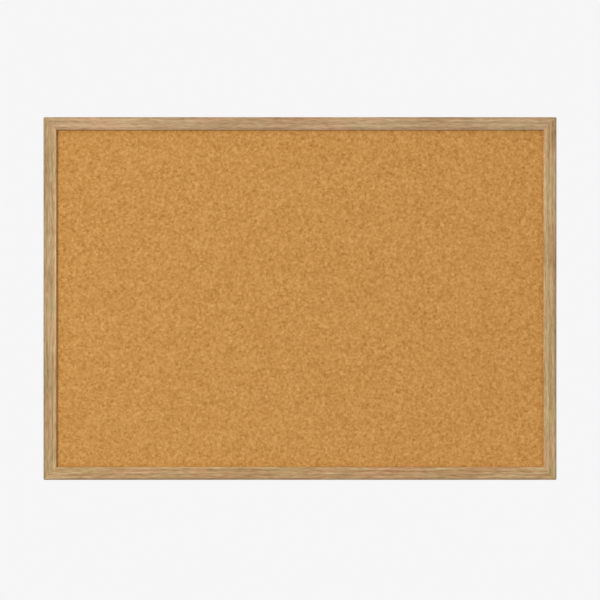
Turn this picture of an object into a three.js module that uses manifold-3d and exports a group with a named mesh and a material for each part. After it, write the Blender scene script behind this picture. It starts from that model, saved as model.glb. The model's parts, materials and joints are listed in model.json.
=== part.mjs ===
// Pin board: a sheet of cork on a laminated panel, held in a mitred oak frame that hangs on a wall.
// Sizes are in millimetres. +X is to the right, +Z is up and +Y points through the board into the wall.
// The origin is the middle of the board's outline, on the wall plane that the rear bumpers touch.
import * as THREE from "three";
import { mergeVertices } from "three/addons/utils/BufferGeometryUtils.js";
import Module from "manifold-3d";

const wasm = await Module();
wasm.setup();

// Frame
const boardWidth = 594;
const boardHeight = 420;
const faceWidth = 15;
const lipThickness = 3.5;
const rebateWidth = 5;
const rearRecess = 3.4;
const outerArris = 1.2;
const sightArris = 0.8;
const rearChamfer = 0.5;
const arcSteps = 3;

// Panel, from the front to the rear
const corkThickness = 3;
const coreThickness = 6;
const backingThickness = 2.5;

// Clearances
const mitreGap = 0.3;
const glueLine = 0.3;
const seatGap = 0.3;
const slotGap = 0.3;
const panelGap = 0.5;

// Corner nails, folded from strip into a V and driven from the rear across each mitre
const nailMargin = 2;
const nailThickness = 0.6;
const nailHeight = 12;
const nailSink = 0.2;

// Points, flat steel tabs driven into the rebate wall to hold the panel
const pointWidth = 6;
const pointThickness = 0.5;
const pointBite = 5;
const pointTail = 8.5;
const pointTip = 3;
const pointTipWidth = 2;
const pointEndMargin = 60;
const pointsPerRail = 4;
const pointsPerStile = 3;

// Hangers, a wire ring in a folded strap on each stile
const hangerDrop = 90;
const ringEdgeMargin = 0.3;
const wireRadius = 1;
const ringSide = 5.5;
const ringSideGap = 0.5;
const ringToScrew = 2.2;
const strapWidth = 6;
const strapThickness = 0.8;
const strapEnd = 4;
const foldGap = 0.2;
const foldAngle = THREE.MathUtils.degToRad(50);
const loopGap = 0.3;
const screwPitch = 7.5;
const screwRadius = 1.2;
const screwLength = 9;
const screwTip = 2.4;
const screwHeadRadius = 2.3;
const screwHeadHeight = 1.5;
const screwRim = 0.5;

// Bumpers, rubber feet that keep the lower edge off the wall
const bumperHeight = 4.5;
const bumperBaseRadius = 4;
const bumperTopRadius = 3.2;
const bumperEdge = 0.6;
const bumperInset = 26;

// Sides of round pieces
const screwSides = 20;
const domeSteps = 4;
const bumperSides = 28;
const ringSteps = 60;
const wireSides = 10;

// Sizes that follow from those above
const panelThickness = corkThickness + glueLine + coreThickness + glueLine + backingThickness;
const frameDepth = lipThickness + panelThickness + rearRecess;
const wallThickness = faceWidth - rebateWidth;
const rearPlane = -bumperHeight;
const frontPlane = rearPlane - frameDepth;
const panelWidth = boardWidth - 2 * (wallThickness + panelGap);
const panelHeight = boardHeight - 2 * (wallThickness + panelGap);
const sightWidth = boardWidth - 2 * (faceWidth + seatGap);
const sightHeight = boardHeight - 2 * (faceWidth + seatGap);
const corkFace = frontPlane + lipThickness;
const corkRim = corkFace + seatGap;
const corkRear = corkFace + corkThickness;
const coreFront = corkRear + glueLine;
const coreRear = coreFront + coreThickness;
const backingFront = coreRear + glueLine;
const backingRear = backingFront + backingThickness;
const pointFront = backingRear + seatGap - frontPlane;
const pointRear = pointFront + pointThickness;
const loopInner = wireRadius + loopGap;
const loopOuter = loopInner + strapThickness;
const strapRear = 2 * strapThickness + foldGap;
const ringBend = ringSideGap + wireRadius;
const ringHalfWidth = strapWidth / 2 + ringBend;
const ringReach = ringSide + ringHalfWidth + wireRadius;
const firstScrewDrop = ringReach + ringToScrew + screwHeadRadius;
const screwDrops = [firstScrewDrop, firstScrewDrop + screwPitch];
const strapLength = firstScrewDrop + screwPitch + strapEnd;
const hangerInset = ringHalfWidth + wireRadius + ringEdgeMargin;
const hangerHeight = boardHeight / 2 - hangerDrop;
const ringCrossing = ringSide + Math.sqrt(ringHalfWidth ** 2 - (strapWidth / 2) ** 2);
const ringTilt = Math.asin((strapRear + seatGap + wireRadius - loopOuter) / ringCrossing);

// Materials
const oak = new THREE.MeshStandardMaterial({ color: 0xb7976e, roughness: 0.62, metalness: 0 });
const cork = new THREE.MeshStandardMaterial({ color: 0xc68f4e, roughness: 0.92, metalness: 0 });
const fibreboard = new THREE.MeshStandardMaterial({ color: 0xa98f6d, roughness: 0.95, metalness: 0 });
const hardboard = new THREE.MeshStandardMaterial({ color: 0x7b5536, roughness: 0.7, metalness: 0 });
const zincSteel = new THREE.MeshStandardMaterial({ color: 0xb4b6b8, roughness: 0.35, metalness: 1 });
const rubber = new THREE.MeshStandardMaterial({ color: 0x232325, roughness: 0.8, metalness: 0 });

// Solids and meshes

function solidOf(geometry) {
  const bare = geometry.clone();
  bare.deleteAttribute("normal");
  bare.deleteAttribute("uv");
  const merged = mergeVertices(bare, 1e-4);
  return new wasm.Manifold(
    new wasm.Mesh({
      numProp: 3,
      vertProperties: merged.attributes.position.array,
      triVerts: new Uint32Array(merged.index.array),
    }),
  );
}

function geometryOf(solid) {
  const mesh = solid.getMesh();
  const geometry = new THREE.BufferGeometry();
  geometry.setAttribute("position", new THREE.BufferAttribute(mesh.vertProperties, 3));
  geometry.setIndex(new THREE.BufferAttribute(mesh.triVerts, 1));
  geometry.computeVertexNormals();
  return geometry;
}

function cutFrom(geometry, cutters) {
  return geometryOf(cutters.reduce((solid, cutter) => solid.subtract(solidOf(cutter)), solidOf(geometry)));
}

function meshOf(name, geometry, material) {
  const mesh = new THREE.Mesh(geometry, material);
  mesh.name = name;
  return mesh;
}

// A flat shape drawn in X and Z, made solid between two planes of Y.
function plate(shape, front, rear) {
  const geometry = new THREE.ExtrudeGeometry(shape, { depth: rear - front, bevelEnabled: false });
  return geometry.rotateX(Math.PI / 2).translate(0, rear, 0);
}

function polygon(corners) {
  return new THREE.Shape(corners.map(([x, z]) => new THREE.Vector2(x, z)));
}

function rectangle(width, height) {
  const [x, z] = [width / 2, height / 2];
  return polygon([[-x, -z], [x, -z], [x, z], [-x, z]]);
}

// A profile of radius and height, turned about the Y axis.
function turned(profile, sides) {
  return new THREE.LatheGeometry(profile.map(([radius, y]) => new THREE.Vector2(radius, y)), sides);
}

// Frame. A side's own frame has X along its length, Y back from the front face and Z in from the outer edge.

function mouldingProfile() {
  const rear = frameDepth - rearChamfer;
  const shape = new THREE.Shape();
  shape.moveTo(outerArris, 0);
  shape.lineTo(faceWidth - sightArris, 0);
  shape.absarc(faceWidth - sightArris, sightArris, sightArris, -Math.PI / 2, 0, false);
  shape.lineTo(faceWidth, lipThickness);
  shape.lineTo(wallThickness, lipThickness);
  shape.lineTo(wallThickness, rear);
  shape.lineTo(wallThickness - rearChamfer, frameDepth);
  shape.lineTo(rearChamfer, frameDepth);
  shape.lineTo(0, rear);
  shape.lineTo(0, outerArris);
  shape.absarc(outerArris, outerArris, outerArris, Math.PI, 1.5 * Math.PI, false);
  return shape;
}

// The moulding cut to length, with both ends mitred back from the outer edge at 45 degrees.
function mitredMoulding(length) {
  const geometry = new THREE.ExtrudeGeometry(mouldingProfile(), {
    depth: length,
    bevelEnabled: false,
    curveSegments: arcSteps,
  });
  const setback = mitreGap / Math.SQRT2;
  const position = geometry.attributes.position;
  for (let i = 0; i < position.count; i += 1) {
    const half = length / 2 - position.getX(i) - setback;
    position.setZ(i, position.getZ(i) < length / 2 ? -half : half);
  }
  return geometry.rotateY(-Math.PI / 2);
}

// A corner nail in its corner's own frame: X and Z run inward along the two sides that it joins.
function cornerNail(gap) {
  const tip = nailMargin - gap;
  const outer = wallThickness - nailMargin + gap;
  const inner = outer - nailThickness - 2 * gap;
  const leg = [[outer, outer], [tip, outer], [tip, inner], [inner, inner]];
  const otherLeg = [[inner, tip], [outer, tip]];
  const rear = frameDepth - nailSink;
  return plate(polygon([...leg, ...otherLeg]), rear - nailHeight - gap, rear + gap);
}

function cornerNailSlots(length) {
  return [
    cornerNail(slotGap).translate(-length / 2, 0, 0),
    cornerNail(slotGap).rotateY(-Math.PI / 2).translate(length / 2, 0, 0),
  ];
}

function retainingPoint() {
  const [half, halfTip] = [pointWidth / 2, pointTipWidth / 2];
  const [tip, tail] = [wallThickness - pointBite, wallThickness + pointTail];
  const shoulder = tip + pointTip;
  const driven = [[-half, shoulder], [-halfTip, tip], [halfTip, tip], [half, shoulder]];
  return plate(polygon([...driven, [half, tail], [-half, tail]]), pointFront, pointRear);
}

function pointSlot() {
  const outline = rectangle(pointWidth + 2 * slotGap, 2 * (pointBite + slotGap));
  return plate(outline, pointFront - slotGap, pointRear + slotGap).translate(0, 0, wallThickness);
}

// A hole for a hanger screw, reaching as deep on either side of Y = 0.
function screwHole(depth) {
  const radius = screwRadius + slotGap;
  return new THREE.CylinderGeometry(radius, radius, 2 * depth, screwSides);
}

function makeSide({ name, member, length, turn, x, z, points, hangerSign }) {
  const group = new THREE.Group();
  group.position.set(x, frontPlane, z);
  group.rotation.y = turn;
  const cutters = cornerNailSlots(length);
  for (let i = 0; i < points; i += 1) {
    const along = (i / (points - 1) - 0.5) * (length - 2 * pointEndMargin);
    cutters.push(pointSlot().translate(along, 0, 0));
    group.add(meshOf(`retaining_point_${name}_${i + 1}`, retainingPoint().translate(along, 0, 0), zincSteel));
  }
  if (hangerSign) {
    for (const drop of screwDrops) {
      const hole = screwHole(screwLength - strapRear + slotGap);
      cutters.push(hole.translate(hangerSign * (hangerHeight - drop), frameDepth, hangerInset));
    }
  }
  group.add(meshOf(`frame_${name}_${member}`, cutFrom(mitredMoulding(length), cutters), oak));
  return group;
}

function makeFrame() {
  const group = new THREE.Group();
  const [x, z] = [boardWidth / 2, boardHeight / 2];
  const quarter = Math.PI / 2;
  const rail = { member: "rail", length: boardWidth, points: pointsPerRail };
  const stile = { member: "stile", length: boardHeight, points: pointsPerStile };
  group.add(makeSide({ ...rail, name: "bottom", turn: 0, x: 0, z: -z }));
  group.add(makeSide({ ...rail, name: "top", turn: 2 * quarter, x: 0, z }));
  group.add(makeSide({ ...stile, name: "left", turn: quarter, x: -x, z: 0, hangerSign: -1 }));
  group.add(makeSide({ ...stile, name: "right", turn: -quarter, x, z: 0, hangerSign: 1 }));
  const corners = [
    ["bottom_left", -x, -z, 0],
    ["bottom_right", x, -z, -quarter],
    ["top_right", x, z, 2 * quarter],
    ["top_left", -x, z, quarter],
  ];
  for (const [name, cornerX, cornerZ, turn] of corners) {
    const nail = meshOf(`corner_nail_${name}`, cornerNail(0), zincSteel);
    nail.position.set(cornerX, frontPlane, cornerZ);
    nail.rotation.y = turn;
    group.add(nail);
  }
  return group;
}

// Panel. The cork's rim is pressed back under the lip, and its face stands flush with the lip's rear.

function makePanel() {
  const group = new THREE.Group();
  const outline = rectangle(panelWidth, panelHeight);
  const sheet = solidOf(plate(outline, corkRim, corkRear));
  const face = solidOf(plate(rectangle(sightWidth, sightHeight), corkFace, corkRear));
  group.add(meshOf("cork_sheet", geometryOf(sheet.add(face)), cork));
  group.add(meshOf("fibreboard_core", plate(outline, coreFront, coreRear), fibreboard));
  group.add(meshOf("backing_board", plate(outline, backingFront, backingRear), hardboard));
  return group;
}

// Hangers. A hanger's own frame has Y off the stile's rear face and Z up from the ring's pivot.

// The strap seen from its edge: one layer on the wood, a loop round the ring's bar, and a layer folded back.
function strapProfile() {
  const turnEnd = Math.PI / 2 + foldAngle;
  const bendAt = (radius, height) => {
    const start = new THREE.Vector2(radius * Math.cos(turnEnd), loopOuter + radius * Math.sin(turnEnd));
    return start.x - (start.y - height) / Math.tan(foldAngle);
  };
  const shape = new THREE.Shape();
  shape.moveTo(-strapLength, 0);
  shape.lineTo(0, 0);
  shape.absarc(0, loopOuter, loopOuter, -Math.PI / 2, turnEnd, false);
  shape.lineTo(bendAt(loopOuter, strapRear), strapRear);
  shape.lineTo(-strapLength, strapRear);
  shape.lineTo(-strapLength, strapThickness + foldGap);
  shape.lineTo(bendAt(loopInner, strapThickness + foldGap), strapThickness + foldGap);
  shape.absarc(0, loopOuter, loopInner, turnEnd, -Math.PI / 2, true);
  shape.lineTo(-strapLength, strapThickness);
  return shape;
}

function strapOutline() {
  const half = strapWidth / 2;
  const shape = new THREE.Shape();
  shape.moveTo(half, loopOuter);
  shape.lineTo(-half, loopOuter);
  shape.lineTo(-half, half - strapLength);
  shape.absarc(0, half - strapLength, half, Math.PI, 2 * Math.PI, false);
  return shape;
}

function hangerStrap() {
  const strip = new THREE.ExtrudeGeometry(strapProfile(), { depth: strapWidth, bevelEnabled: false });
  strip.rotateY(-Math.PI / 2).translate(strapWidth / 2, 0, 0);
  const shaped = solidOf(strip).intersect(solidOf(plate(strapOutline(), 0, 2 * loopOuter)));
  const holes = screwDrops.map((drop) => screwHole(2 * strapRear).translate(0, 0, -drop));
  return cutFrom(geometryOf(shaped), holes);
}

// The centre line of the ring's wire: a bar through the strap's loop, two bends, two sides and a half round.
class RingLine extends THREE.Curve {
  constructor() {
    super();
    const [half, bend] = [ringHalfWidth, ringBend];
    this.path = new THREE.Path();
    this.path.moveTo(bend - half, 0);
    this.path.lineTo(half - bend, 0);
    this.path.absarc(half - bend, -bend, bend, Math.PI / 2, 0, true);
    this.path.lineTo(half, -ringSide);
    this.path.absarc(0, -ringSide, half, 0, -Math.PI, true);
    this.path.lineTo(-half, -bend);
    this.path.absarc(bend - half, -bend, bend, Math.PI, Math.PI / 2, true);
  }

  getPoint(t, target = new THREE.Vector3()) {
    const point = this.path.getPointAt(t % 1);
    return target.set(point.x, 0, point.y);
  }
}

function hangerRing() {
  return new THREE.TubeGeometry(new RingLine(), ringSteps, wireRadius, wireSides, true);
}

// A pan-head wood screw, with its head seated on the strap.
function hangerScrew() {
  const seat = strapRear + seatGap;
  const dome = new THREE.EllipseCurve(
    0, seat + screwRim, screwHeadRadius, screwHeadHeight - screwRim, 0, Math.PI / 2,
  );
  const profile = [
    [0, seat - screwLength],
    [screwRadius, seat - screwLength + screwTip],
    [screwRadius, seat],
    [screwHeadRadius, seat],
    ...dome.getPoints(domeSteps).map((point) => [point.x, point.y]),
  ];
  return turned(profile, screwSides);
}

function makeHanger(name, sign) {
  const group = new THREE.Group();
  group.position.set(sign * (boardWidth / 2 - hangerInset), rearPlane, hangerHeight);
  group.add(meshOf(`hanger_strap_${name}`, hangerStrap(), zincSteel));
  const ring = meshOf(`hanger_ring_${name}`, hangerRing(), zincSteel);
  ring.position.y = loopOuter;
  ring.rotation.x = ringTilt;
  group.add(ring);
  screwDrops.forEach((drop, i) => {
    const screw = meshOf(`hanger_screw_${name}_${i + 1}`, hangerScrew(), zincSteel);
    screw.position.z = -drop;
    group.add(screw);
  });
  return group;
}

// Bumpers

function bumper() {
  const profile = [
    [0, 0],
    [bumperBaseRadius, 0],
    [bumperTopRadius, bumperHeight - bumperEdge],
    [bumperTopRadius - bumperEdge, bumperHeight],
    [0, bumperHeight],
  ];
  return turned(profile, bumperSides);
}

function makeBumpers() {
  const group = new THREE.Group();
  for (const [name, sign] of [["left", -1], ["right", 1]]) {
    const foot = meshOf(`bumper_${name}`, bumper(), rubber);
    foot.position.set(sign * (boardWidth / 2 - bumperInset), rearPlane, wallThickness / 2 - boardHeight / 2);
    group.add(foot);
  }
  return group;
}

const board = new THREE.Group();
board.add(makeFrame(), makePanel(), makeHanger("left", -1), makeHanger("right", 1), makeBumpers());

export default board;
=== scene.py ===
import json
import math
from collections import namedtuple

import bmesh
import bpy
from mathutils import Matrix, Vector, noise


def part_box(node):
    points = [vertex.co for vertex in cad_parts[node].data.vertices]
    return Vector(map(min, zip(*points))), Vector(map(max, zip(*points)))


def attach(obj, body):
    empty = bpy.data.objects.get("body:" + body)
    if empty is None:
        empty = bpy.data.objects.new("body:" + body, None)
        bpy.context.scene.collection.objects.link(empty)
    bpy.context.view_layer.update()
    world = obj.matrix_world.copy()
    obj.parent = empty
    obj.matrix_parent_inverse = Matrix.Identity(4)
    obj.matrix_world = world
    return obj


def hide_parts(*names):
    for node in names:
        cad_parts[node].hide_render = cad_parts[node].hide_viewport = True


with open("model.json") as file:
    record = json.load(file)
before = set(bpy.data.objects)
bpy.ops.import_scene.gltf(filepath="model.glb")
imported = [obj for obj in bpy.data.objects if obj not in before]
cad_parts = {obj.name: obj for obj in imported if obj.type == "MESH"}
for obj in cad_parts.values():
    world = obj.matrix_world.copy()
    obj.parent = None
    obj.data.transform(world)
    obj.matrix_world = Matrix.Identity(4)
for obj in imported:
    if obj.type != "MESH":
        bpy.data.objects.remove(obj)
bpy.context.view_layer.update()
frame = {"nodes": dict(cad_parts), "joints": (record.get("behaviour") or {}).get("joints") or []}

MM = 0.001

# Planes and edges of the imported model
HALF_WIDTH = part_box("frame_right_stile")[1].x
HALF_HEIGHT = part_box("frame_top_rail")[1].z
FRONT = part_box("frame_top_rail")[0].y
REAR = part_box("frame_top_rail")[1].y
CORK_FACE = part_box("cork_sheet")[0].y
FACE_WIDTH = HALF_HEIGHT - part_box("frame_top_rail")[0].z

# Sides of the frame, each drawn with X along it, Y back from the front face and Z in from the outer edge
Side = namedtuple("Side", "member length turn origin")
SIDES = {
    "bottom": Side("rail", 2 * HALF_WIDTH, 0, (0, FRONT, -HALF_HEIGHT)),
    "top": Side("rail", 2 * HALF_WIDTH, math.pi, (0, FRONT, HALF_HEIGHT)),
    "left": Side("stile", 2 * HALF_HEIGHT, math.pi / 2, (-HALF_WIDTH, FRONT, 0)),
    "right": Side("stile", 2 * HALF_HEIGHT, -math.pi / 2, (HALF_WIDTH, FRONT, 0)),
}

# Moulding
REBATE_WIDTH = 5 * MM
WALL_THICKNESS = FACE_WIDTH - REBATE_WIDTH
OUTER_ARRIS = 1.2 * MM
SIGHT_ARRIS = 0.8 * MM
REAR_ARRIS = 0.5 * MM
LIP_ARRIS = 0.2 * MM
MITRE_SETBACK = 0.02 * MM
CORNER_RADIUS = 1.5 * MM
CORNER_CUTS = 4
NAIL_THICKNESS = 0.6 * MM

# Cuts, edges and seams on every piece
CUT_CLEARANCE = 0.04 * MM
CUT_OVERRUN = 1 * MM
SAME_PLACE = 0.02 * MM
MERGE_DISTANCE = 0.001 * MM
ARRIS_SEGMENTS = 5
FINE_SEGMENTS = 2
SHARP_ANGLE = math.radians(35)

# Cork sheet
CORK_PITCH = 1.6 * MM
CORK_SHARP_ANGLE = math.radians(50)
RELIEF_GRANULE = 4.4 * MM
RELIEF_DEPTH = 0.16 * MM
RELIEF_ROUNDING = 0.55
RELIEF_LEVELS = 0.5
LEVEL_SCATTER = 9.7
PRESSED_DEPTH = 0.3 * MM
PRESSED_WIDTH = 1.6 * MM

# Backing and steel points
BACKING_ARRIS = 0.25 * MM
POINT_TIP = 3 * MM
POINT_TIP_WIDTH = 2 * MM
POINT_CORNER = 0.9 * MM
POINT_ARRIS = 0.1 * MM
POINT_RIM_ANGLE = math.radians(60)

# Hangers, measured from the ring's pivot
WIRE_RADIUS = 1 * MM
WIRE_SIDES = 20
RING_SIDE = 5.5 * MM
RING_BEND = 1.5 * MM
RING_HALF_WIDTH = 4.5 * MM
RING_BEND_STEPS = 8
RING_ROUND_STEPS = 28
STRAP_WIDTH = 6 * MM
STRAP_THICKNESS = 0.8 * MM
STRAP_ARRIS = 0.12 * MM
STRAP_RIM_ANGLE = math.radians(50)
STRAP_END_STEPS = 16
FOLD_GAP = 0.2 * MM
FOLD_ANGLE = math.radians(50)
FOLD_BEND = 1 * MM
FOLD_STEPS = 6
LOOP_GAP = 0.3 * MM
LOOP_STEPS = 26
RING_GAP = 0.3 * MM
LOOP_INNER = WIRE_RADIUS + LOOP_GAP
LOOP_OUTER = LOOP_INNER + STRAP_THICKNESS
STRAP_REAR = 2 * STRAP_THICKNESS + FOLD_GAP

# Screws, with the degrees that each hanger's two recesses are turned
SCREW_SIDES = 32
SCREW_RIM = 0.5 * MM
SCREW_RADIUS = 1.2 * MM
SCREW_TIP = 2.4 * MM
SCREW_HEAD_HEIGHT = 1.5 * MM
SCREW_DOME_STEPS = 10
SCREW_TURNS = {"left": (57, 94), "right": (102, 139)}
RECESS_WIDTH = 0.75 * MM
RECESS_ARM = 0.85 * MM
RECESS_DEPTH = 0.9 * MM

# Bumpers
BUMPER_SIDES = 48
BUMPER_TOP_RADIUS = 3.2 * MM
BUMPER_EDGE = 0.6 * MM
BUMPER_EDGE_STEPS = 6

# Oak of each side: how many steps its grain is moved by, the painted light and shade across its face and on
# its front edges, both from the outer edge to the sight edge, and its middle colour in 8-bit screen values.
# The face tones are a painted shading slope. The edge tones paint shade along every outer edge, least on the
# top, shade on the top's sight edge and a highlight on the other sight edges.
Oak = namedtuple("Oak", "steps face_tones wear_tones middle")
OAK_BOARDS = {
    "top": Oak(3, (1.04, 0.98), (0.88, 0.84), (186, 152, 112)),
    "bottom": Oak(6, (0.97, 1.07), (0.8, 1.04), (182, 143, 95)),
    "left": Oak(4, (0.9, 1.1), (0.82, 1.16), (182, 150, 104)),
    "right": Oak(7, (0.97, 1.15), (0.82, 1.1), (182, 150, 104)),
}
OAK_PALE = (206, 178, 134)
OAK_DARK = (150, 117, 75)
GRAIN_STEP = (1.7, 0.11, 0.23)
# How far the painted edge light and shade reaches in from each front edge, and how ragged its reach is
PAINTED_EDGE_NEAR = 1.2 * MM
PAINTED_EDGE_FAR = 3.2 * MM
PAINTED_EDGE_RAGGED = 1.2 * MM
ROSY_TINT = (1.06, 0.96, 0.98, 1)
PLAIN_TINT = (1.02, 0.99, 0.99, 1)
OLIVE_TINT = (0.97, 1.01, 0.96, 1)

# Cork and hardboard patterns: granules to the metre, their wobble, and the degrees that fibres lie at
GRANULES = 360
GRANULE_WOBBLE = 1.4 * MM
FIBRE_TURNS = (20, 80, 140)

# Camera, set so that the board's outline has its width and place in a 600 pixel square
IMAGE_SIZE = 600
BOARD_PIXELS = 513.0
BOARD_CENTRE_ROW = 298.5
SENSOR = 36
LENS = 250

# Studio
BACKDROP = 0.9216
KEY_DIRECTION = Vector((-0.74, -1, 0.2)).normalized()
KEY_DISTANCE = 5
KEY_SIZE = 0.8
KEY_POWER = 114
REAR_DIRECTION = Vector((0.7, 1, 0.75)).normalized()
REAR_DISTANCE = 6
REAR_SIZE = 2
REAR_POWER = 150
SKY_LOW = 0.42
SKY_HIGH = 0.82
SKY_SPAN = 0.8
WHITE = (1, 1, 1, 1)
FLOOR_GREY = 0.01
FLOOR_GLOW = 0.911
FLOOR_HEIGHT = -1.0
FLOOR_THICKNESS = 10 * MM
FLOOR_DEPTH = 3.5
FLOOR_REACH = 9


def srgb(red, green, blue):
    """A colour given in 8-bit screen values, as the linear values that shaders take."""
    def linear(value):
        share = value / 255
        return share / 12.92 if share <= 0.04045 else ((share + 0.055) / 1.055) ** 2.4
    return (linear(red), linear(green), linear(blue), 1)


# Shader nodes

def new_material(name):
    """A material with its node tree and shader."""
    material = bpy.data.materials.new(name)
    material.use_nodes = True
    tree = material.node_tree
    return material, tree, tree.nodes["Principled BSDF"]


def give(tree, node, inputs):
    """A node's inputs, set to plain values or linked to sockets."""
    for name, value in inputs.items():
        if isinstance(value, bpy.types.NodeSocket):
            tree.links.new(value, node.inputs[name])
        else:
            node.inputs[name].default_value = value


def add(tree, kind, inputs=None, **settings):
    """A new node with its settings and inputs."""
    made = tree.nodes.new(kind)
    for name, value in settings.items():
        setattr(made, name, value)
    give(tree, made, inputs or {})
    return made


def object_coordinates(tree):
    return add(tree, "ShaderNodeTexCoord").outputs["Object"]


def mapped(tree, vector, **inputs):
    """Coordinates moved by a Location, turned by a Rotation or multiplied by a Scale."""
    return add(tree, "ShaderNodeMapping", {"Vector": vector, **inputs}).outputs["Vector"]


def drawn_out(tree, vector, share):
    """Coordinates shrunk along X to a share, so that patterns run long that way."""
    return mapped(tree, vector, Scale=(share, 1, 1))


def noise_of(tree, vector, scale, detail=2.0, roughness=0.5, distortion=0.0, output="Fac"):
    """Cloudy noise, with its scale in repeats to the metre."""
    return add(tree, "ShaderNodeTexNoise", {
        "Vector": vector, "Scale": scale, "Detail": detail, "Roughness": roughness, "Distortion": distortion,
    }).outputs[output]


def cells_of(tree, vector, scale, feature="F1"):
    """Grains packed together, with their scale in grains to the metre."""
    return add(tree, "ShaderNodeTexVoronoi", {"Vector": vector, "Scale": scale}, feature=feature).outputs


def cell_tone(tree, cells):
    """A tone of its own for each grain, from 0 to 1."""
    return add(tree, "ShaderNodeSeparateColor", {"Color": cells["Color"]}).outputs["Red"]


def weighted_sum(tree, *parts):
    """Sum of sockets, each times its own weight."""
    total = 0.0
    for socket, weight in parts:
        inputs = {0: socket, 1: weight, 2: total}
        total = add(tree, "ShaderNodeMath", inputs, operation="MULTIPLY_ADD").outputs[0]
    return total


def ramp(tree, factor, stops):
    """Colours at their places along a factor."""
    made = add(tree, "ShaderNodeValToRGB", {"Fac": factor})
    elements = made.color_ramp.elements
    while len(elements) < len(stops):
        elements.new(1)
    for element, (position, colour) in zip(elements, stops):
        element.position = position
        element.color = colour
    return made.outputs["Color"]


def ranged(tree, value, low, high, new_low, new_high):
    """A value carried from one range to another and held inside it."""
    return add(tree, "ShaderNodeMapRange", {
        "Value": value, "From Min": low, "From Max": high, "To Min": new_low, "To Max": new_high,
    }).outputs["Result"]


def tinted(tree, colour, tint):
    """A colour times another."""
    made = add(tree, "ShaderNodeMix", {0: 1.0, 6: colour, 7: tint}, data_type="RGBA", blend_type="MULTIPLY")
    return made.outputs[2]


def shaded(tree, colour, value):
    """A colour times a grey value."""
    grey = add(tree, "ShaderNodeCombineColor", {"Red": value, "Green": value, "Blue": value})
    return tinted(tree, colour, grey.outputs["Color"])


def bumped(tree, height, distance):
    """A normal tilted by a height pattern of some depth."""
    return add(tree, "ShaderNodeBump", {"Height": height, "Distance": distance}).outputs["Normal"]


# Finishes

def painted_edge_light(tree, along, edge, tone):
    """Painted light or shade, as the tone sets, on the front edge of a side, fading out raggedly over the
    face beside it.
    """
    offset = mapped(tree, along, Location=(0, -FRONT, -edge), Scale=(0, 1, 1))
    distance = add(tree, "ShaderNodeVectorMath", {0: offset}, operation="LENGTH").outputs["Value"]
    ragged = noise_of(tree, drawn_out(tree, along, 0.2), scale=500)
    ragged_reach = weighted_sum(tree, (distance, 1), (ragged, PAINTED_EDGE_RAGGED))
    return ranged(tree, ragged_reach, PAINTED_EDGE_NEAR, PAINTED_EDGE_FAR, tone, 1)


def face_tones(tree, along, side, oak):
    """The painted light and shade laid over a side: a shading slope across its face, and painted tones on
    both of its front edges.
    """
    outer_edge = -Vector(side.origin).xz.length
    sight_edge = outer_edge + FACE_WIDTH
    inward = add(tree, "ShaderNodeSeparateXYZ", {"Vector": along}).outputs["Z"]
    slope = ranged(tree, inward, outer_edge, sight_edge, *oak.face_tones)
    painted_edges = zip((outer_edge, sight_edge), oak.wear_tones)
    return [slope, *(painted_edge_light(tree, along, edge, tone) for edge, tone in painted_edges)]


def growth_bands(tree, grain):
    """Bands of early and late wood, which run along the grain."""
    long_bands = mapped(tree, grain, Scale=(0.05, 0.6, 1))
    return add(tree, "ShaderNodeTexWave", {
        "Vector": long_bands, "Scale": 62, "Distortion": 9,
        "Detail": 2, "Detail Scale": 0.6, "Detail Roughness": 0.55,
    }, wave_type="BANDS", bands_direction="Z").outputs["Fac"]


def oak_finish(name):
    """Limed oak with its grain along one side: bands, streaks, flecks, fibres and open pores, with painted
    light and shade across its face and along its front edges.
    """
    side, oak = SIDES[name], OAK_BOARDS[name]
    material, tree, shader = new_material(f"oak_{name}")
    along = mapped(tree, object_coordinates(tree), Rotation=(0, -side.turn, 0))
    grain = mapped(tree, along, Location=[oak.steps * length for length in GRAIN_STEP])
    bands = growth_bands(tree, grain)
    streaks = noise_of(tree, drawn_out(tree, grain, 0.05), scale=420, detail=3, roughness=0.55)
    flecks = noise_of(tree, drawn_out(tree, grain, 0.09), scale=900, detail=4, roughness=0.6)
    fibres = noise_of(tree, drawn_out(tree, grain, 0.025), scale=1900, detail=4, roughness=0.7)
    cloud = noise_of(tree, drawn_out(tree, grain, 0.3), scale=38)
    drift = noise_of(tree, drawn_out(tree, grain, 0.25), scale=90)
    pores = noise_of(tree, drawn_out(tree, grain, 0.045), scale=2700, detail=1)
    open_pores = ranged(tree, pores, 0.34, 0.46, 0, 1)
    tone = weighted_sum(tree, (bands, 0.08), (streaks, 0.4), (flecks, 0.56), (fibres, 0.12), (cloud, 0.24))
    dark, middle, pale = (srgb(*colour) for colour in (OAK_DARK, oak.middle, OAK_PALE))
    grained = ramp(tree, tone, [(0.52, dark), (0.69, middle), (0.86, pale)])
    tint = ramp(tree, drift, [(0.34, ROSY_TINT), (0.5, PLAIN_TINT), (0.66, OLIVE_TINT)])
    colour = tinted(tree, grained, tint)
    # The face's painted shading slope, the painted light and shade on its edges, and the darker open pores,
    # multiplied into the colour
    for laid_over in (*face_tones(tree, along, side, oak), ranged(tree, open_pores, 0, 1, 0.72, 1)):
        colour = shaded(tree, colour, laid_over)
    give(tree, shader, {
        "Base Color": colour,
        "Roughness": ranged(tree, tone, 0.5, 0.88, 0.72, 0.5),
        "Specular IOR Level": 0.3,
        "Normal": bumped(tree, weighted_sum(tree, (open_pores, 0.7), (fibres, 0.3)), 0.08 * MM),
    })
    return material


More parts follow.
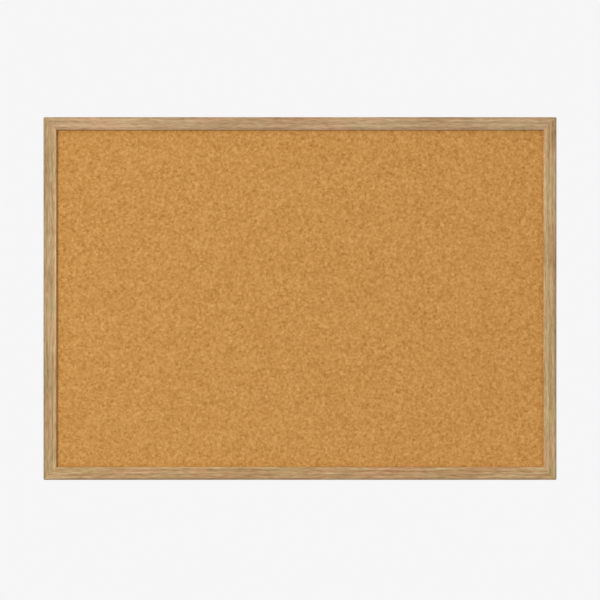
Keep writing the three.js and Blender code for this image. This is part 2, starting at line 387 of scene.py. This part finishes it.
def cork_finish():
    """Pressed cork: granules of mixed tone in clusters, crumbs, broken seams, dark specks and fine grit."""
    material, tree, shader = new_material("cork_granules")
    board = object_coordinates(tree)
    wobble = noise_of(tree, board, scale=420, detail=5, roughness=0.62, output="Color")
    shift = {0: wobble, 1: (GRANULE_WOBBLE,) * 3, 2: board}
    uneven = add(tree, "ShaderNodeVectorMath", shift, operation="MULTIPLY_ADD").outputs["Vector"]
    granules = cells_of(tree, uneven, GRANULES)
    crumbs = cells_of(tree, uneven, scale=800)
    seams = cells_of(tree, uneven, GRANULES, "DISTANCE_TO_EDGE")["Distance"]
    specks = cell_tone(tree, cells_of(tree, uneven, scale=1300))
    clusters = noise_of(tree, board, scale=330, detail=0)
    grit = noise_of(tree, board, scale=2400, detail=3, roughness=0.6)
    granule_tone, crumb_tone = cell_tone(tree, granules), cell_tone(tree, crumbs)
    tone = weighted_sum(tree, (granule_tone, 0.26), (crumb_tone, 0.24), (clusters, 0.6), (grit, 0.12))
    colour = ramp(tree, tone, [
        (0.16, srgb(163, 108, 43)), (0.42, srgb(191, 134, 64)), (0.62, srgb(202, 145, 75)),
        (0.8, srgb(211, 155, 85)), (1, srgb(220, 167, 98)),
    ])
    broken_seams = weighted_sum(tree, (seams, 1), (noise_of(tree, board, scale=600), 0.2))
    seamed = shaded(tree, colour, ranged(tree, broken_seams, 0.06, 0.145, 0.7, 1))
    height = weighted_sum(tree, (granules["Distance"], -0.5), (crumbs["Distance"], -0.3), (grit, 0.2))
    give(tree, shader, {
        "Base Color": shaded(tree, seamed, ranged(tree, specks, 0.025, 0.04, 0.6, 1)),
        "Roughness": ranged(tree, tone, 0.2, 0.9, 0.96, 0.8),
        "Specular IOR Level": 0.2,
        "Normal": bumped(tree, height, 0.12 * MM),
    })
    return material


def fibreboard_finish():
    """Soft grey-brown fibreboard with loose fibres."""
    material, tree, shader = new_material("soft_fibreboard")
    board = object_coordinates(tree)
    fibres = noise_of(tree, drawn_out(tree, board, 0.3), scale=900, detail=4, roughness=0.7)
    give(tree, shader, {
        "Base Color": ramp(tree, fibres, [(0.3, srgb(140, 115, 84)), (0.7, srgb(188, 162, 128))]),
        "Roughness": 0.95,
        "Normal": bumped(tree, fibres, 0.2 * MM),
    })
    return material


def hardboard_finish():
    """Brown hardboard: a mat of fibres that lie three ways, pale and dark flecks and a faint press sheen."""
    material, tree, shader = new_material("pressed_hardboard")
    board = object_coordinates(tree)
    mat = noise_of(tree, board, scale=1100, detail=5, roughness=0.68, distortion=0.6)
    clouds = noise_of(tree, board, scale=13, detail=3, roughness=0.55)
    fibres = []
    for turn in FIBRE_TURNS:
        laid = drawn_out(tree, mapped(tree, board, Rotation=(0, math.radians(turn), 0)), 0.14)
        fibres.append(noise_of(tree, laid, scale=1000, detail=3, roughness=0.6, distortion=1.5))
    tone = weighted_sum(tree, (mat, 0.4), (clouds, 0.1), *((fibre, 0.22) for fibre in fibres))
    colour = ramp(tree, tone, [
        (0.44, srgb(88, 57, 34)), (0.55, srgb(118, 81, 51)), (0.64, srgb(134, 95, 62)),
        (0.76, srgb(166, 127, 88)),
    ])
    give(tree, shader, {
        "Base Color": colour,
        "Roughness": ranged(tree, tone, 0.48, 0.7, 0.52, 0.74),
        "Specular IOR Level": 0.35,
        "Normal": bumped(tree, tone, 0.1 * MM),
    })
    return material


def zinc_finish():
    """Zinc-plated steel: a mottled grey plating with drawn scratches."""
    material, tree, shader = new_material("zinc_plated_steel")
    board = object_coordinates(tree)
    mottle = noise_of(tree, board, scale=520, detail=4, roughness=0.65)
    scratches = noise_of(tree, mapped(tree, board, Scale=(1, 1, 0.06)), scale=5200)
    colour = ramp(tree, mottle, [
        (0.3, srgb(164, 166, 170)), (0.5, srgb(186, 188, 190)), (0.7, srgb(204, 204, 201)),
    ])
    give(tree, shader, {
        "Base Color": colour,
        "Metallic": 1.0,
        "Roughness": ranged(tree, mottle, 0.3, 0.7, 0.42, 0.24),
        "Normal": bumped(tree, weighted_sum(tree, (mottle, 0.5), (scratches, 0.5)), 0.012 * MM),
    })
    return material


def rubber_finish():
    """Black moulded rubber with a dusty bloom."""
    material, tree, shader = new_material("black_rubber")
    board = object_coordinates(tree)
    bloom = noise_of(tree, board, scale=480, detail=4, roughness=0.6)
    give(tree, shader, {
        "Base Color": ramp(tree, bloom, [(0.35, srgb(28, 28, 30)), (0.7, srgb(52, 51, 50))]),
        "Roughness": ranged(tree, bloom, 0.3, 0.7, 0.66, 0.86),
        "Specular IOR Level": 0.4,
        "Normal": bumped(tree, noise_of(tree, board, scale=3000), 0.03 * MM),
    })
    return material


def floor_finish():
    """A plain pale floor that glows a little, so that it stays as bright as the backdrop far off."""
    material, tree, shader = new_material("pale_floor")
    give(tree, shader, {
        "Base Color": (FLOOR_GREY, FLOOR_GREY, FLOOR_GREY, 1),
        "Roughness": 1.0,
        "Specular IOR Level": 0.0,
        "Emission Color": WHITE,
        "Emission Strength": FLOOR_GLOW,
    })
    return material


# Mesh helpers

def verts_of(geometry):
    return [item for item in geometry if isinstance(item, bmesh.types.BMVert)]


def edges_of(geometry):
    return [item for item in geometry if isinstance(item, bmesh.types.BMEdge)]


def same(value, other):
    return abs(value - other) < SAME_PLACE


def edges_where(bm, there):
    """The edges whose two ends pass a test of their place."""
    return [edge for edge in bm.edges if all(there(vert.co) for vert in edge.verts)]


def rounded(bm, edges, size, segments=FINE_SEGMENTS):
    """Edges rounded over."""
    bmesh.ops.bevel(
        bm, geom=edges, offset=size, offset_type="OFFSET", segments=segments, profile=0.5,
        affect="EDGES", material=-1, clamp_overlap=True,
    )


def add_box(bm, low, high):
    """A box between two corners."""
    low, high = Vector(low), Vector(high)
    spread = Matrix.Translation((low + high) / 2) @ Matrix.Diagonal((*(high - low), 1))
    bmesh.ops.create_cube(bm, size=1, matrix=spread)


def add_screw_hole(bm, screw, front, rear):
    """A round hole for a screw, between two planes of Y."""
    low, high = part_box(screw)
    middle = (low + high) / 2
    middle.y = (front + rear) / 2
    radius = SCREW_RADIUS + CUT_CLEARANCE
    bmesh.ops.create_cone(
        bm, cap_ends=True, segments=SCREW_SIDES, radius1=radius, radius2=radius, depth=rear - front,
        matrix=Matrix.Translation(middle) @ Matrix.Rotation(math.pi / 2, 4, "X"),
    )


def prism(bm, corners, vector):
    """A flat outline made solid along a vector."""
    outline = bm.faces.new([bm.verts.new(corner) for corner in corners])
    grown = bmesh.ops.extrude_face_region(bm, geom=[outline])["geom"]
    bmesh.ops.translate(bm, vec=vector, verts=verts_of(grown))
    bmesh.ops.recalc_face_normals(bm, faces=bm.faces)


def close_seams(bm):
    """Doubled points merged, and faces turned outwards."""
    bmesh.ops.remove_doubles(bm, verts=bm.verts, dist=MERGE_DISTANCE)
    bmesh.ops.recalc_face_normals(bm, faces=bm.faces)


def turned(profile, sides):
    """A profile of radius and height, from axis to axis, turned about the Y axis."""
    bm = bmesh.new()
    verts = [bm.verts.new((radius, height, 0)) for radius, height in profile]
    edges = [bm.edges.new(pair) for pair in zip(verts, verts[1:])]
    bmesh.ops.spin(
        bm, geom=verts + edges, cent=(0, 0, 0), axis=(0, 1, 0), angle=math.tau, steps=sides, use_merge=True,
    )
    close_seams(bm)
    return bm


def quarter_round(centre, radii, steps):
    """Points on a quarter of an ellipse, from its side to its top."""
    angles = [math.pi / 2 * step / steps for step in range(steps + 1)]
    return [
        (centre[0] + radii[0] * math.cos(angle), centre[1] + radii[1] * math.sin(angle)) for angle in angles
    ]


class Sweep:
    """A section drawn along straight runs and bends."""

    def __init__(self, bm, edges):
        self.bm = bm
        self.edges = edges

    def run(self, vector):
        grown = bmesh.ops.extrude_edge_only(self.bm, edges=self.edges)["geom"]
        moved = verts_of(grown)
        bmesh.ops.translate(self.bm, vec=vector, verts=moved)
        self.edges = [edge for edge in edges_of(grown) if all(vert in moved for vert in edge.verts)]

    def bend(self, centre, axis, angle, steps):
        verts = list({vert for edge in self.edges for vert in edge.verts})
        spun = bmesh.ops.spin(
            self.bm, geom=verts + self.edges, cent=centre, axis=axis, angle=angle, steps=steps,
        )
        self.edges = edges_of(spun["geom_last"])


def new_object(bm, name):
    """An object at the origin that holds a finished bmesh."""
    mesh = bpy.data.meshes.new(name)
    bm.to_mesh(mesh)
    bm.free()
    made = bpy.data.objects.new(name, mesh)
    bpy.context.scene.collection.objects.link(made)
    return made


def settle_modifiers(piece):
    """The mesh that a piece's modifiers give, kept as its own."""
    depsgraph = bpy.context.evaluated_depsgraph_get()
    piece.data = bpy.data.meshes.new_from_object(piece.evaluated_get(depsgraph))
    piece.modifiers.clear()


def cut(piece, cutter_bm):
    """A piece with the cutters' space taken out."""
    tool = new_object(cutter_bm, "cutter")
    modifier = piece.modifiers.new("cut", "BOOLEAN")
    modifier.operation = "DIFFERENCE"
    modifier.solver = "EXACT"
    modifier.object = tool
    settle_modifiers(piece)
    bpy.data.objects.remove(tool)


def smooth(piece):
    """Smooth shading, with flat faces kept flat and sharp edges kept sharp."""
    piece.data.shade_smooth()
    piece.data.set_sharp_from_angle(angle=SHARP_ANGLE)
    modifier = piece.modifiers.new("flat_faces", "WEIGHTED_NORMAL")
    modifier.keep_sharp = True


def place(piece, material, node, body="board"):
    """A finished piece on its body, in the place of its CAD node."""
    piece.data.materials.clear()
    piece.data.materials.append(material)
    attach(piece, body)
    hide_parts(node)


# Frame

def side_place(side):
    """What carries a side from its own frame to its place on the board."""
    return Matrix.Translation(side.origin) @ Matrix.Rotation(side.turn, 4, "Y")


def long_edges(bm, y, z):
    """The edges that run along a side at one corner of its section."""
    return edges_where(bm, lambda spot: same(spot.y, y) and same(spot.z, z))


def outer_edges(bm, y):
    """The edges along a side's outer edge and round its corners, in one plane of Y."""
    return edges_where(bm, lambda spot: same(spot.y, y) and spot.z < CORNER_RADIUS / 2)


def slice_off(bm, point, normal):
    """What lies beyond a plane taken away, and the cut closed."""
    everything = bm.verts[:] + bm.edges[:] + bm.faces[:]
    cut_edges = bmesh.ops.bisect_plane(
        bm, geom=everything, clear_outer=True, plane_co=point, plane_no=normal,
    )["geom_cut"]
    bmesh.ops.contextual_create(bm, geom=edges_of(cut_edges))


def mitre(bm, length, end):
    """One end of a side cut back at 45 degrees, with its tip eased round."""
    slice_off(bm, (end * (length / 2 - MITRE_SETBACK), 0, 0), (end, 0, 1))
    centre = Vector((end * (length / 2 - CORNER_RADIUS), 0, CORNER_RADIUS))
    for step in range(1, CORNER_CUTS + 1):
        angle = math.pi / 4 * step / CORNER_CUTS
        outward = Vector((end * math.sin(angle), 0, -math.cos(angle)))
        slice_off(bm, centre + CORNER_RADIUS * outward, outward)


def moulding(length):
    """The rebated section, drawn to length, mitred and rounded along its arrises."""
    lip, depth = CORK_FACE - FRONT, REAR - FRONT
    face = [(0, 0), (0, FACE_WIDTH), (lip, FACE_WIDTH)]
    wall = [(lip, WALL_THICKNESS), (depth, WALL_THICKNESS), (depth, 0)]
    bm = bmesh.new()
    prism(bm, [(-length / 2, y, z) for y, z in face + wall], (length, 0, 0))
    for end in (-1, 1):
        mitre(bm, length, end)
    bmesh.ops.recalc_face_normals(bm, faces=bm.faces)
    rounded(bm, outer_edges(bm, 0), OUTER_ARRIS, ARRIS_SEGMENTS)
    rounded(bm, long_edges(bm, 0, FACE_WIDTH), SIGHT_ARRIS, ARRIS_SEGMENTS)
    rounded(bm, long_edges(bm, lip, FACE_WIDTH), LIP_ARRIS)
    rounded(bm, long_edges(bm, depth, WALL_THICKNESS), REAR_ARRIS)
    rounded(bm, outer_edges(bm, depth), REAR_ARRIS)
    return bm


def nail_leg(node, member):
    """The corners of the leg of a corner nail that lies in one member."""
    low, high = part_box(node)
    across = 0 if member == "rail" else 2
    if low[across] < 0:
        low[across] = high[across] - NAIL_THICKNESS
    else:
        high[across] = low[across] + NAIL_THICKNESS
    return low, high


def side_cutters(name):
    """The room that corner nails, points and screws take up in one side."""
    bm = bmesh.new()
    room = Vector((CUT_CLEARANCE, CUT_CLEARANCE, CUT_CLEARANCE))
    beyond = Vector((0, CUT_OVERRUN, 0))
    for node in frame["nodes"]:
        low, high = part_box(node)
        if node.startswith("corner_nail_") and name in node.split("_"):
            low, high = nail_leg(node, SIDES[name].member)
            add_box(bm, low - room, high + room + beyond)
        if node.startswith(f"retaining_point_{name}_"):
            add_box(bm, low - room, high + room)
        if node.startswith(f"hanger_screw_{name}_"):
            add_screw_hole(bm, node, low.y, REAR + CUT_OVERRUN)
    return bm


def make_side(name):
    """A rail or stile of the frame."""
    side = SIDES[name]
    bm = moulding(side.length)
    bm.transform(side_place(side))
    piece = new_object(bm, f"oak_{name}_{side.member}")
    cut(piece, side_cutters(name))
    smooth(piece)
    place(piece, oak_finish(name), f"frame_{name}_{side.member}")


# Panel

def pressed(x, z):
    """How far the cork dips towards the frame's lip, from 0 in the open to 1 under the lip."""
    inside = min(HALF_WIDTH - FACE_WIDTH - abs(x), HALF_HEIGHT - FACE_WIDTH - abs(z))
    share = min(max(1 - inside / PRESSED_WIDTH, 0), 1)
    return share * share * (3 - 2 * share)


def relief(x, z):
    """How far the cork lies behind its highest granules, from 0 to 1."""
    distances, centres = noise.voronoi(Vector((x, 0, z)) / RELIEF_GRANULE)
    level = 0.5 - 0.5 * noise.noise(centres[0] * LEVEL_SCATTER)
    return min(RELIEF_ROUNDING * distances[0] + RELIEF_LEVELS * level, 1)


def make_cork_sheet():
    """A sheet whose face has the relief of its granules and dips under the lip all round."""
    low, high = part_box("cork_sheet")
    size = high - low
    bm = bmesh.new()
    bmesh.ops.create_grid(
        bm, x_segments=round(size.x / CORK_PITCH), y_segments=round(size.z / CORK_PITCH), size=0.5,
        matrix=Matrix.Rotation(math.pi / 2, 4, "X") @ Matrix.Diagonal((size.x, size.z, 1, 1)),
    )
    for vert in bm.verts:
        x, z = vert.co.x, vert.co.z
        vert.co.y = low.y + max(PRESSED_DEPTH * pressed(x, z), RELIEF_DEPTH * relief(x, z))
    rim = [edge for edge in bm.edges if edge.is_boundary]
    wall = bmesh.ops.extrude_edge_only(bm, edges=rim)["geom"]
    rear = verts_of(wall)
    for vert in rear:
        vert.co.y = high.y
    rear_rim = [edge for edge in edges_of(wall) if all(vert in rear for vert in edge.verts)]
    bmesh.ops.contextual_create(bm, geom=rear_rim)
    bmesh.ops.recalc_face_normals(bm, faces=bm.faces)
    piece = new_object(bm, "cork_pin_sheet")
    piece.data.shade_smooth()
    piece.data.set_sharp_from_angle(angle=CORK_SHARP_ANGLE)
    place(piece, cork_finish(), "cork_sheet")


def make_backing():
    """The hardboard that closes the rear, with its edges broken."""
    bm = bmesh.new()
    add_box(bm, *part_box("backing_board"))
    rounded(bm, bm.edges[:], BACKING_ARRIS)
    piece = new_object(bm, "hardboard_back")
    smooth(piece)
    place(piece, hardboard_finish(), "backing_board")


def make_point(name, number, zinc_steel):
    """A flat steel tab, drawn in its side's own frame: a tapered tip in the wood and a rounded tail."""
    node = f"retaining_point_{name}_{number}"
    to_board = side_place(SIDES[name])
    corners = [to_board.inverted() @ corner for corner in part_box(node)]
    left, right = sorted(corner.x for corner in corners)
    tip, tail = sorted(corner.z for corner in corners)
    front, rear = (corner.y for corner in corners)
    middle, half_tip, shoulder = (left + right) / 2, POINT_TIP_WIDTH / 2, tip + POINT_TIP
    driven = [(left, shoulder), (middle - half_tip, tip), (middle + half_tip, tip), (right, shoulder)]
    bm = bmesh.new()
    prism(bm, [(x, front, z) for x, z in [*driven, (right, tail), (left, tail)]], (0, rear - front, 0))
    tail_edges = edges_where(bm, lambda spot: same(spot.z, tail))
    tail_corners = [edge for edge in tail_edges if same(edge.verts[0].co.x, edge.verts[1].co.x)]
    rounded(bm, tail_corners, POINT_CORNER, ARRIS_SEGMENTS)
    rim = [edge for edge in bm.edges if edge.calc_face_angle(0) > POINT_RIM_ANGLE]
    rounded(bm, rim, POINT_ARRIS)
    bm.transform(to_board)
    piece = new_object(bm, f"steel_point_{name}_{number}")
    smooth(piece)
    place(piece, zinc_steel, node)


# Hangers, drawn round the ring's pivot with X along it, Y off the stile and Z up

def make_ring(name, pivot, zinc_steel):
    """A wire ring: a bar through the strap's loop, two bends, two sides and a half round."""
    bm = bmesh.new()
    circle = bmesh.ops.create_circle(
        bm, segments=WIRE_SIDES, radius=WIRE_RADIUS, matrix=Matrix.Rotation(math.pi / 2, 4, "Y"),
    )["verts"]
    wire = Sweep(bm, list({edge for vert in circle for edge in vert.link_edges}))
    bar, side, across = RING_HALF_WIDTH - RING_BEND, RING_SIDE - RING_BEND, (0, 1, 0)
    wire.run((bar, 0, 0))
    wire.bend((bar, 0, -RING_BEND), across, math.pi / 2, RING_BEND_STEPS)
    wire.run((0, 0, -side))
    wire.bend((0, 0, -RING_SIDE), across, math.pi, RING_ROUND_STEPS)
    wire.run((0, 0, side))
    wire.bend((-bar, 0, -RING_BEND), across, math.pi / 2, RING_BEND_STEPS)
    wire.run((bar, 0, 0))
    close_seams(bm)
    crossing = RING_SIDE + math.sqrt(RING_HALF_WIDTH ** 2 - (STRAP_WIDTH / 2) ** 2)
    tilt = math.asin((STRAP_REAR + RING_GAP + WIRE_RADIUS - LOOP_OUTER) / crossing)
    bm.transform(Matrix.Translation(pivot) @ Matrix.Rotation(tilt, 4, "X"))
    piece = new_object(bm, f"wire_ring_{name}")
    smooth(piece)
    place(piece, zinc_steel, f"hanger_ring_{name}", f"{name}_ring")


def round_end(bm, end):
    """A half disc added to the end of a ribbon, on its last edge."""
    start = max(end.verts, key=lambda vert: vert.co.x)
    centre = (end.verts[0].co + end.verts[1].co) / 2
    bmesh.ops.spin(bm, geom=[start], cent=centre, axis=(0, 1, 0), angle=math.pi, steps=STRAP_END_STEPS)
    bmesh.ops.remove_doubles(bm, verts=bm.verts, dist=MERGE_DISTANCE)
    rim = [edge for edge in bm.edges if not edge.link_faces]
    level_edges = edges_where(bm, lambda spot: same(spot.y, centre.y) and same(spot.z, centre.z))
    bmesh.ops.contextual_create(bm, geom=rim + [edge for edge in level_edges if edge.is_boundary])


def strap_ribbon(end):
    """The strap's middle surface, from its end on the wood, round the pivot and back to the same end."""
    half, radius = STRAP_WIDTH / 2, LOOP_OUTER - STRAP_THICKNESS / 2
    upper = STRAP_REAR - STRAP_THICKNESS / 2 - LOOP_OUTER
    turn = math.pi / 2 + FOLD_ANGLE
    drop = radius * math.sin(turn) - upper
    slope = drop / math.sin(FOLD_ANGLE) - FOLD_BEND * math.tan(FOLD_ANGLE / 2)
    down = Vector((0, -math.sin(FOLD_ANGLE), -math.cos(FOLD_ANGLE)))
    bm = bmesh.new()
    first = bm.edges.new([bm.verts.new((x, -radius, end)) for x in (-half, half)])
    ribbon = Sweep(bm, [first])
    ribbon.run((0, 0, -end))
    ribbon.bend((0, 0, 0), (-1, 0, 0), math.pi / 2 + turn, LOOP_STEPS)
    ribbon.run(down * slope)
    foot = ribbon.edges[0].verts[0].co.z - FOLD_BEND * math.sin(FOLD_ANGLE)
    ribbon.bend((0, upper + FOLD_BEND, foot), (1, 0, 0), FOLD_ANGLE, FOLD_STEPS)
    ribbon.run((0, 0, end - ribbon.edges[0].verts[0].co.z))
    for edge in (first, ribbon.edges[0]):
        round_end(bm, edge)
    bmesh.ops.recalc_face_normals(bm, faces=bm.faces)
    return bm


def make_strap(name, pivot, zinc_steel):
    """A strip folded round the ring's bar and screwed down through both layers."""
    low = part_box(f"hanger_strap_{name}")[0]
    bm = strap_ribbon(low.z + STRAP_WIDTH / 2 - pivot.z)
    bm.transform(Matrix.Translation(pivot))
    piece = new_object(bm, f"folded_strap_{name}")
    thicken = piece.modifiers.new("thickness", "SOLIDIFY")
    thicken.thickness = STRAP_THICKNESS
    thicken.offset = 0
    thicken.use_even_offset = True
    settle_modifiers(piece)
    holes = bmesh.new()
    for node in frame["nodes"]:
        if node.startswith(f"hanger_screw_{name}_"):
            add_screw_hole(holes, node, REAR - 2 * STRAP_REAR, REAR + 2 * STRAP_REAR)
    cut(piece, holes)
    edge_break = piece.modifiers.new("edge_break", "BEVEL")
    edge_break.width = STRAP_ARRIS
    edge_break.segments = FINE_SEGMENTS
    edge_break.limit_method = "ANGLE"
    edge_break.angle_limit = STRAP_RIM_ANGLE
    settle_modifiers(piece)
    smooth(piece)
    place(piece, zinc_steel, f"hanger_strap_{name}")


def cross_recess(top):
    """A driver's cross, made by drawing out the four sides of a small block."""
    half = RECESS_WIDTH / 2
    bm = bmesh.new()
    add_box(bm, (-half, top - RECESS_DEPTH, -half), (half, top + RECESS_DEPTH, half))
    for face in [face for face in bm.faces if abs(face.normal.y) < 0.5]:
        outward = face.normal.copy()
        arm = bmesh.ops.extrude_discrete_faces(bm, faces=[face])["faces"][0]
        bmesh.ops.translate(bm, vec=outward * RECESS_ARM, verts=arm.verts[:])
    return bm


def make_screw(name, number, turn, zinc_steel):
    """A pan-head screw with a tapered tip and a cross recess."""
    node = f"hanger_screw_{name}_{number}"
    low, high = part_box(node)
    head_radius = (high.x - low.x) / 2
    seat = high.y - SCREW_HEAD_HEIGHT
    dome_size = (head_radius, SCREW_HEAD_HEIGHT - SCREW_RIM)
    dome = quarter_round((0, seat + SCREW_RIM), dome_size, SCREW_DOME_STEPS)
    shank = [(0, low.y), (SCREW_RADIUS, low.y + SCREW_TIP), (SCREW_RADIUS, seat)]
    bm = turned([*shank, (head_radius, seat), *dome], SCREW_SIDES)
    recess = cross_recess(high.y)
    centre = Matrix.Translation(((low.x + high.x) / 2, 0, (low.z + high.z) / 2))
    for shape in (bm, recess):
        shape.transform(centre @ Matrix.Rotation(math.radians(turn), 4, "Y"))
    piece = new_object(bm, f"pan_head_screw_{name}_{number}")
    cut(piece, recess)
    smooth(piece)
    place(piece, zinc_steel, node)


def make_hanger(name, zinc_steel):
    """A ring in its strap, with two screws."""
    joint = next(joint for joint in frame["joints"] if joint["child"] == f"{name}_ring")
    pivot = Vector(joint["pos_m"])
    make_ring(name, pivot, zinc_steel)
    make_strap(name, pivot, zinc_steel)
    for number, turn in enumerate(SCREW_TURNS[name], 1):
        make_screw(name, number, turn, zinc_steel)


# Bumpers

def make_bumper(name, rubber):
    """A rubber foot that tapers to a rounded edge."""
    low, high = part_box(f"bumper_{name}")
    base_radius = (high.x - low.x) / 2
    edge_centre = (BUMPER_TOP_RADIUS - BUMPER_EDGE, high.y - BUMPER_EDGE)
    edge = quarter_round(edge_centre, (BUMPER_EDGE, BUMPER_EDGE), BUMPER_EDGE_STEPS)
    bm = turned([(0, low.y), (base_radius, low.y), *edge, (0, high.y)], BUMPER_SIDES)
    bm.transform(Matrix.Translation(((low.x + high.x) / 2, 0, (low.z + high.z) / 2)))
    piece = new_object(bm, f"rubber_bumper_{name}")
    smooth(piece)
    place(piece, rubber, f"bumper_{name}")


# Board

def dress_node(node, material):
    """A CAD node that keeps its shape and gets a finish."""
    mesh = frame["nodes"][node].data
    mesh.materials.clear()
    mesh.materials.append(material)


def make_board():
    """Every piece of the board."""
    for name in OAK_BOARDS:
        make_side(name)
    make_cork_sheet()
    make_backing()
    dress_node("fibreboard_core", fibreboard_finish())
    zinc_steel = zinc_finish()
    for node in frame["nodes"]:
        if node.startswith("corner_nail_"):
            dress_node(node, zinc_steel)
        if node.startswith("retaining_point_"):
            make_point(*node.split("_")[2:], zinc_steel)
    rubber = rubber_finish()
    for name in ("left", "right"):
        make_hanger(name, zinc_steel)
        make_bumper(name, rubber)


# Studio

def make_camera():
    """A long lens, square to the board."""
    data = bpy.data.cameras.new("camera")
    data.sensor_width = SENSOR
    data.lens = LENS
    camera = bpy.data.objects.new("camera", data)
    pixel = 2 * HALF_WIDTH / BOARD_PIXELS
    distance = pixel * IMAGE_SIZE * LENS / SENSOR
    drop = (IMAGE_SIZE / 2 - BOARD_CENTRE_ROW) * pixel
    camera.location = (0, FRONT + OUTER_ARRIS - distance, -drop)
    camera.rotation_euler = (math.pi / 2, 0, 0)
    bpy.context.scene.collection.objects.link(camera)
    bpy.context.scene.camera = camera


def make_light(name, direction, distance, size, power):
    """A soft square light that faces the board."""
    data = bpy.data.lights.new(name, "AREA")
    data.size = size
    data.energy = power
    light = bpy.data.objects.new(name, data)
    light.location = direction * distance
    light.rotation_euler = direction.to_track_quat("Z", "Y").to_euler()
    light.visible_camera = False
    bpy.context.scene.collection.objects.link(light)


def make_world():
    """A plain backdrop, and a soft sky for the light that is brighter above than below."""
    world = bpy.data.worlds.new("studio")
    world.use_nodes = True
    tree = world.node_tree
    sky = tree.nodes["Background"]
    direction = add(tree, "ShaderNodeTexCoord").outputs["Generated"]
    height = add(tree, "ShaderNodeSeparateXYZ", {"Vector": direction}).outputs["Z"]
    brightness = ranged(tree, height, -SKY_SPAN, SKY_SPAN, SKY_LOW, SKY_HIGH)
    give(tree, sky, {"Color": WHITE, "Strength": brightness})
    backdrop = add(tree, "ShaderNodeBackground", {"Color": WHITE, "Strength": BACKDROP})
    seen = add(tree, "ShaderNodeLightPath").outputs["Is Camera Ray"]
    mixed = add(tree, "ShaderNodeMixShader", {0: seen, 1: sky.outputs[0], 2: backdrop.outputs[0]})
    give(tree, tree.nodes["World Output"], {"Surface": mixed.outputs[0]})
    bpy.context.scene.world = world


def make_floor():
    """A pale slab well below the board."""
    bm = bmesh.new()
    low = (-FLOOR_REACH, -FLOOR_REACH, FLOOR_HEIGHT - FLOOR_THICKNESS)
    add_box(bm, low, (FLOOR_REACH, FLOOR_DEPTH, FLOOR_HEIGHT))
    floor = new_object(bm, "floor")
    floor.data.materials.append(floor_finish())
    floor.visible_diffuse = False


bpy.context.scene.view_settings.view_transform = "Standard"
make_camera()
make_world()
make_light("key_light", KEY_DIRECTION, KEY_DISTANCE, KEY_SIZE, KEY_POWER)
make_light("rear_light", REAR_DIRECTION, REAR_DISTANCE, REAR_SIZE, REAR_POWER)
make_floor()
make_board()
